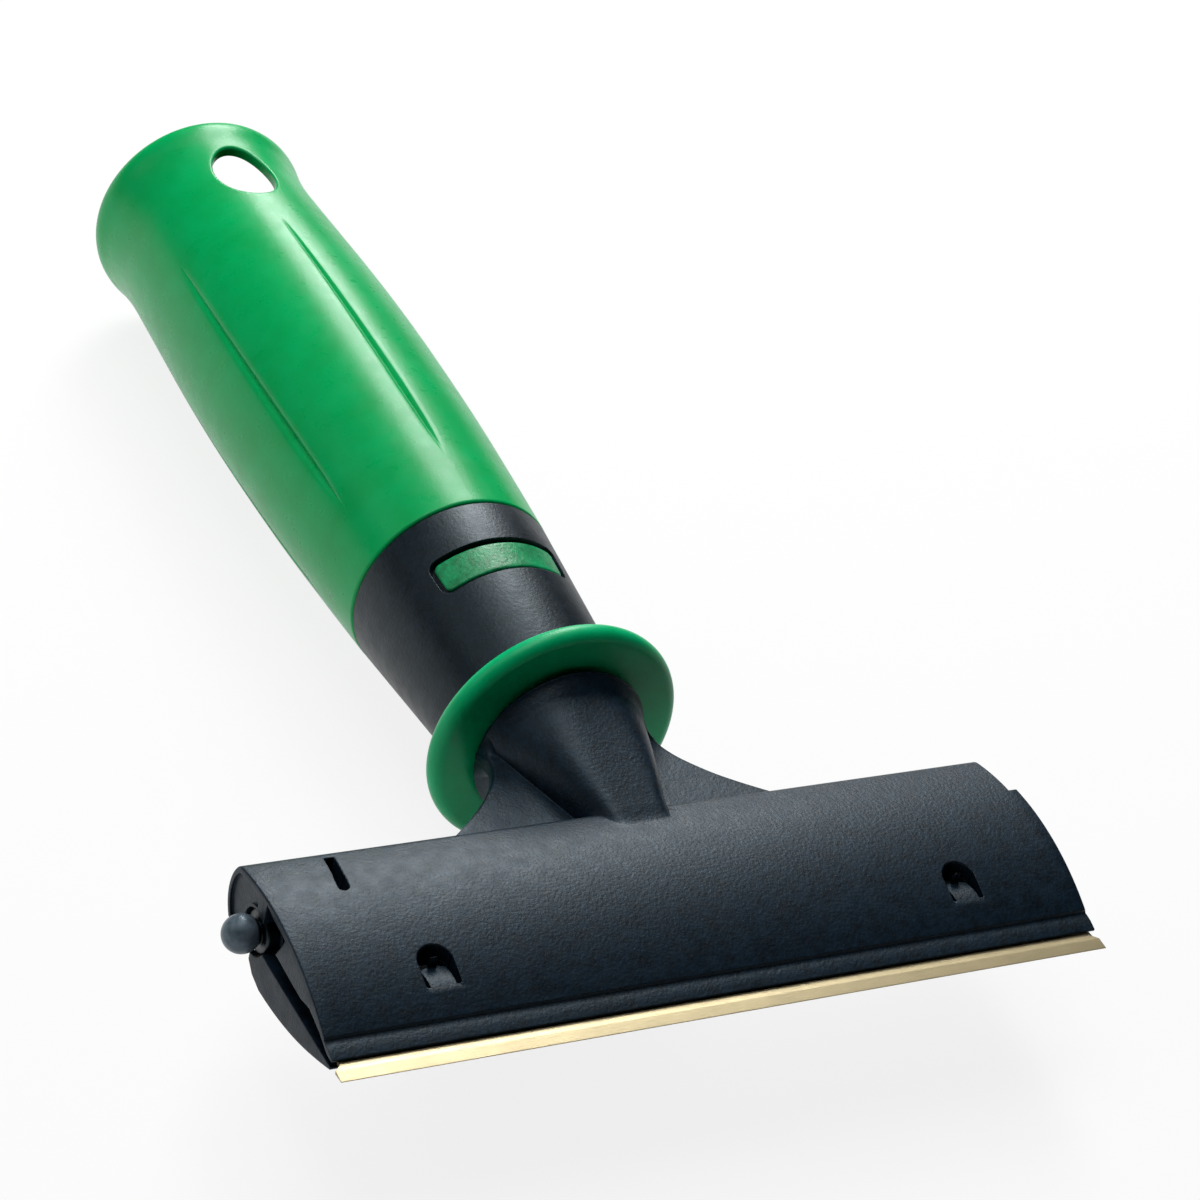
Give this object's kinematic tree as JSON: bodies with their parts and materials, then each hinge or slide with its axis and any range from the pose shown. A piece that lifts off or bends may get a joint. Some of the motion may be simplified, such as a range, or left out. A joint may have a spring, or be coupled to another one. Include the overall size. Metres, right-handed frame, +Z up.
{
  "type": "glass scraper",
  "caption": "Hand glass scraper: a wide steel blade held in a black head by a hinged clamp jaw, with a guard collar and a green grip around a pole socket",
  "frame": {"origin": "the middle of the bounding box's bottom face, with the tool lying on its collar and grip, blade level", "axes": "+X along the blade, away from the release knob; +Y from the blade to the butt along the handle's axis; +Z up, out of the head's domed top"},
  "size_m": [0.1556, 0.2558, 0.0494],
  "materials": {
    "head_plastic": "dark slate moulded plastic with a fine grain",
    "blade_steel": "warm cream ground steel with a bevelled edge",
    "hardware_steel": "plain bright steel",
    "black_steel": "blackened steel",
    "knob_plastic": "dark smooth plastic",
    "green_plastic": "teal green satin plastic",
    "core_plastic": "matt blue grey moulded plastic",
    "green_grip": "soft green moulded grip with shallow grooves",
    "insert_brass": "plain brass"
  },
  "bodies": {
    "frame": {"head_frame": "head_plastic", "handle_core": "core_plastic", "grip_sleeve": "green_grip", "collar_ring": "green_plastic", "band_badge": "green_plastic", "tang_screw": "hardware_steel", "screw_washer": "hardware_steel", "tang_insert": "insert_brass", "pin_clip": "hardware_steel", "bore_plug": "head_plastic"},
    "jaw": {"clamp_jaw": "head_plastic", "scraper_blade": "blade_steel", "left_catch_hook": "black_steel", "right_catch_hook": "black_steel"},
    "lock_pin": {"hinge_pin": "hardware_steel", "release_knob": "knob_plastic", "return_spring": "hardware_steel"}
  },
  "joints": [
    {"name": "jaw_swing", "type": "hinge", "parent": "frame", "child": "jaw", "pos_m": [0, -0.0912, 0.0254], "axis": [1, 0, 0], "range_deg": [0, 45]},
    {"name": "pin_press", "type": "slide", "parent": "frame", "child": "lock_pin", "axis": [1, 0, 0], "range_m": [0, 0.0035], "stiffness_N_per_m": 300, "springref_m": -0.003, "deforming": ["return_spring"]}
  ]
}
